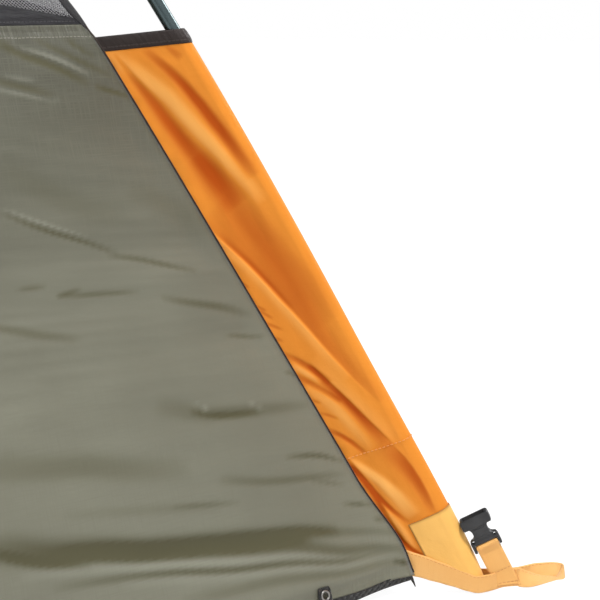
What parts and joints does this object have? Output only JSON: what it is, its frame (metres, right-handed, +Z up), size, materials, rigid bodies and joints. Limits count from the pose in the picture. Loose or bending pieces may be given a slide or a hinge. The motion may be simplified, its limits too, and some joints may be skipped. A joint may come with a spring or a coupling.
{
  "type": "backpacking tent",
  "caption": "Pitched dome tent body with two crossed bent poles, corner sleeves, peg loops, fly buckles, mesh canopy and an arched zip door.",
  "frame": {"origin": "on the ground under the middle of the tent", "axes": "+X along the long side of the floor, +Y from the door to the rear, +Z up"},
  "size_m": [2.591, 2.2688, 1.4293],
  "materials": {
    "olive_cloth": "coated polyester taffeta, plain weave, soft sheen",
    "charcoal_cloth": "plain woven polyester, matt",
    "mesh_cloth": "fine knitted insect mesh",
    "groundsheet": "coated woven groundsheet, dark, slightly glossy",
    "orange_cloth": "coated polyester taffeta, bright, soft sheen",
    "orange_webbing": "20 mm polyester webbing, ribbed, matt",
    "brown_binding": "grosgrain binding, dark brown",
    "black_plastic": "moulded acetal, lightly textured",
    "pole_alloy": "grey-green anodised tube, satin"
  },
  "bodies": {
    "root": {"floor": "groundsheet", "front_wall": "olive_cloth", "front_canopy": "mesh_cloth", "rear_wall": "olive_cloth", "rear_canopy": "mesh_cloth", "right_wall": "olive_cloth", "right_canopy": "mesh_cloth", "left_wall": "olive_cloth", "left_canopy": "mesh_cloth", "front_band_left": "charcoal_cloth", "front_band_right": "charcoal_cloth", "rear_band": "charcoal_cloth", "right_band": "charcoal_cloth", "left_band": "charcoal_cloth", "crown_patch": "charcoal_cloth", "crown_clip": "black_plastic", "zip_tape": "brown_binding", "pole_under": "pole_alloy", "pole_over": "pole_alloy", "corner_sleeve_front_right": "orange_cloth", "sleeve_mouth_front_right": "brown_binding", "foot_patch_front_right": "orange_webbing", "foot_webbing_front_right": "orange_webbing", "pole_tip_front_right": "black_plastic", "clip_low_front_right": "black_plastic", "clip_high_front_right": "black_plastic", "corner_sleeve_front_left": "orange_cloth", "sleeve_mouth_front_left": "brown_binding", "foot_patch_front_left": "orange_webbing", "foot_webbing_front_left": "orange_webbing", "pole_tip_front_left": "black_plastic", "clip_low_front_left": "black_plastic", "clip_high_front_left": "black_plastic", "corner_sleeve_rear_right": "orange_cloth", "sleeve_mouth_rear_right": "brown_binding", "foot_patch_rear_right": "orange_webbing", "foot_webbing_rear_right": "orange_webbing", "pole_tip_rear_right": "black_plastic", "clip_low_rear_right": "black_plastic", "clip_high_rear_right": "black_plastic", "corner_sleeve_rear_left": "orange_cloth", "sleeve_mouth_rear_left": "brown_binding", "foot_patch_rear_left": "orange_webbing", "foot_webbing_rear_left": "orange_webbing", "pole_tip_rear_left": "black_plastic", "clip_low_rear_left": "black_plastic", "clip_high_rear_left": "black_plastic"},
    "door": {"door_panel": "olive_cloth"},
    "peg_loop_front_right": {"peg_loop_front_right": "orange_webbing"},
    "buckle_front_right": {"buckle_strap_front_right": "orange_webbing", "buckle_front_right": "black_plastic"},
    "peg_loop_front_left": {"peg_loop_front_left": "orange_webbing"},
    "buckle_front_left": {"buckle_strap_front_left": "orange_webbing", "buckle_front_left": "black_plastic"},
    "peg_loop_rear_right": {"peg_loop_rear_right": "orange_webbing"},
    "buckle_rear_right": {"buckle_strap_rear_right": "orange_webbing", "buckle_rear_right": "black_plastic"},
    "peg_loop_rear_left": {"peg_loop_rear_left": "orange_webbing"},
    "buckle_rear_left": {"buckle_strap_rear_left": "orange_webbing", "buckle_rear_left": "black_plastic"}
  },
  "joints": [
    {"name": "door_fold", "type": "hinge", "parent": "root", "child": "door", "pos_m": [0, -0.99376, 0.1606], "axis": [1, 0, 0], "range_deg": [0, 124]},
    {"name": "peg_loop_swing_front_right", "type": "hinge", "parent": "root", "child": "peg_loop_front_right", "pos_m": [1.26495, -1.10683, 0.013], "axis": [0, 0, 1], "range_deg": [-60, 60]},
    {"name": "buckle_flop_front_right", "type": "hinge", "parent": "root", "child": "buckle_front_right", "pos_m": [1.25144, -1.09979, 0.0205], "axis": [0.7526, -0.6585, 0], "range_deg": [-5, 100], "stiffness_Nm_per_rad": 0.02},
    {"name": "peg_loop_swing_front_left", "type": "hinge", "parent": "root", "child": "peg_loop_front_left", "pos_m": [-1.26495, -1.10683, 0.013], "axis": [0, 0, 1], "range_deg": [-60, 60]},
    {"name": "buckle_flop_front_left", "type": "hinge", "parent": "root", "child": "buckle_front_left", "pos_m": [-1.25144, -1.09979, 0.0205], "axis": [0.7526, 0.6585, 0], "range_deg": [-5, 100], "stiffness_Nm_per_rad": 0.02},
    {"name": "peg_loop_swing_rear_right", "type": "hinge", "parent": "root", "child": "peg_loop_rear_right", "pos_m": [1.26495, 1.10683, 0.013], "axis": [0, 0, 1], "range_deg": [-60, 60]},
    {"name": "buckle_flop_rear_right", "type": "hinge", "parent": "root", "child": "buckle_rear_right", "pos_m": [1.25144, 1.09979, 0.0205], "axis": [-0.7526, -0.6585, 0], "range_deg": [-5, 100], "stiffness_Nm_per_rad": 0.02},
    {"name": "peg_loop_swing_rear_left", "type": "hinge", "parent": "root", "child": "peg_loop_rear_left", "pos_m": [-1.26495, 1.10683, 0.013], "axis": [0, 0, 1], "range_deg": [-60, 60]},
    {"name": "buckle_flop_rear_left", "type": "hinge", "parent": "root", "child": "buckle_rear_left", "pos_m": [-1.25144, 1.09979, 0.0205], "axis": [-0.7526, 0.6585, 0], "range_deg": [-5, 100], "stiffness_Nm_per_rad": 0.02}
  ]
}
